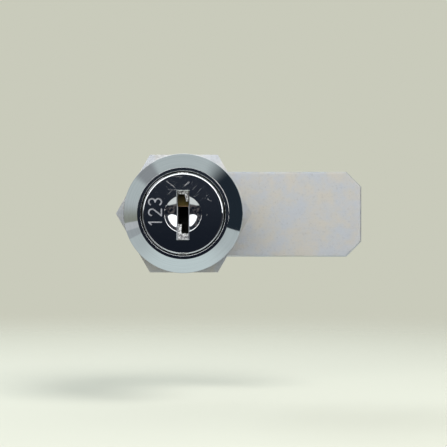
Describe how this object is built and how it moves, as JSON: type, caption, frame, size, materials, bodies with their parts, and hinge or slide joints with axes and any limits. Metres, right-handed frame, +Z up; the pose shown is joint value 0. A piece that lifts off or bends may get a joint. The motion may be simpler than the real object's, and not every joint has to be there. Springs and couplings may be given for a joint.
{
  "type": "cam lock",
  "caption": "Round chromed cam lock with a keyed plug in a threaded double-D housing, fixed by a nut, turning a flat cam a quarter turn.",
  "frame": {"origin": "on the lock's axis, in the plane of the bezel's seat, which lies on the front of the panel", "axes": "-Y is the front, where the key goes in; +Y runs back along the barrel; +Z is up; the cam points along +X when locked"},
  "size_m": [0.0477, 0.0315, 0.022],
  "materials": {
    "chrome": "bright chrome plate on the bezel, dull plate on the barrel",
    "plug_chrome": "polished chrome face, finely scratched round the keyway",
    "brass": "stamped brass sheet",
    "spring_steel": "drawn spring wire",
    "zinc_nut": "zinc-plated steel, machined faces",
    "zinc_cam": "zinc-plated steel sheet, tumbled edges",
    "zinc_screw": "zinc-plated steel"
  },
  "bodies": {
    "housing": {"housing": "chrome", "toothed_washer": "zinc_nut", "mounting_nut": "zinc_nut"},
    "plug": {"plug": "plug_chrome", "stop_washer": "zinc_cam", "cam": "zinc_cam", "plain_washer": "zinc_screw", "spring_washer": "zinc_screw", "cam_screw": "zinc_screw", "retainer_spring": "spring_steel", "wafer_spring_1": "spring_steel", "wafer_spring_2": "spring_steel", "wafer_spring_3": "spring_steel", "wafer_spring_4": "spring_steel", "wafer_spring_5": "spring_steel", "wafer_spring_6": "spring_steel"},
    "wafer_1": {"wafer_1": "brass"},
    "wafer_2": {"wafer_2": "brass"},
    "wafer_3": {"wafer_3": "brass"},
    "wafer_4": {"wafer_4": "brass"},
    "wafer_5": {"wafer_5": "brass"},
    "wafer_6": {"wafer_6": "brass"},
    "retainer": {"retainer_wafer": "brass"}
  },
  "joints": [
    {"name": "plug_turn", "type": "hinge", "parent": "housing", "child": "plug", "pos_m": [0, 0, 0], "axis": [0, 1, 0], "range_deg": [0, 90]},
    {"name": "wafer_1_slide", "type": "slide", "parent": "plug", "child": "wafer_1", "axis": [0, 0, 1], "range_m": [-0.0008, 0], "stiffness_N_per_m": 50, "springref_m": -0.0018, "deforming": ["wafer_spring_1"]},
    {"name": "wafer_2_slide", "type": "slide", "parent": "plug", "child": "wafer_2", "axis": [0, 0, 1], "range_m": [-0.0008, 0], "stiffness_N_per_m": 50, "springref_m": -0.0018, "deforming": ["wafer_spring_2"]},
    {"name": "wafer_3_slide", "type": "slide", "parent": "plug", "child": "wafer_3", "axis": [0, 0, 1], "range_m": [-0.0008, 0], "stiffness_N_per_m": 50, "springref_m": -0.0018, "deforming": ["wafer_spring_3"]},
    {"name": "wafer_4_slide", "type": "slide", "parent": "plug", "child": "wafer_4", "axis": [0, 0, 1], "range_m": [-0.0008, 0], "stiffness_N_per_m": 50, "springref_m": -0.0018, "deforming": ["wafer_spring_4"]},
    {"name": "wafer_5_slide", "type": "slide", "parent": "plug", "child": "wafer_5", "axis": [0, 0, 1], "range_m": [-0.0008, 0], "stiffness_N_per_m": 50, "springref_m": -0.0018, "deforming": ["wafer_spring_5"]},
    {"name": "wafer_6_slide", "type": "slide", "parent": "plug", "child": "wafer_6", "axis": [0, 0, 1], "range_m": [-0.0008, 0], "stiffness_N_per_m": 50, "springref_m": -0.0018, "deforming": ["wafer_spring_6"]},
    {"name": "retainer_slide", "type": "slide", "parent": "plug", "child": "retainer", "axis": [0, 0, 1], "range_m": [-0.001, 0], "stiffness_N_per_m": 50, "springref_m": 0.001, "deforming": ["retainer_spring"]}
  ]
}
